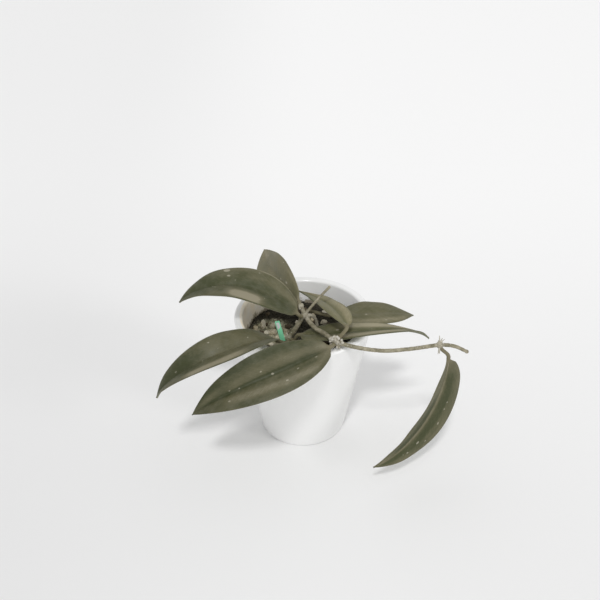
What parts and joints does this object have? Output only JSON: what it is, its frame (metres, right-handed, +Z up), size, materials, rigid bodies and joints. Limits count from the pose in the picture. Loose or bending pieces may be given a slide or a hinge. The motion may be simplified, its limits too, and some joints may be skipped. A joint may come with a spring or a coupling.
{
  "type": "potted hoya",
  "caption": "Trailing hoya with long pointed waxy leaves on one arching vine, rooted in dark mix with pale chips in a plain white tapered pot.",
  "frame": {"origin": "middle of the flat underside of the pot", "axes": "+Z up along the pot's axis, -Y towards the front, +X towards the side that the vine trails to"},
  "size_m": [0.2453, 0.1874, 0.1566],
  "materials": {
    "pot_glaze": "smooth white satin glaze",
    "potting_mix": "dark crumbly bark mix with pale rough chips",
    "label_plastic": "thin mint green plastic strip",
    "stem": "grey green bark skin with pale corky knobs",
    "leaf": "thick waxy dark olive leaf with small pale flecks"
  },
  "bodies": {
    "root": {"pot": "pot_glaze", "potting_mix": "potting_mix", "plant_label": "label_plastic", "vine": "stem", "side_shoot": "stem", "leaf_upper_left": "leaf", "leaf_rear": "leaf", "leaf_lower_left": "leaf", "leaf_front": "leaf", "leaf_inner": "leaf", "leaf_upper_right": "leaf", "leaf_lower_right": "leaf", "leaf_hanging": "leaf"}
  },
  "joints": []
}
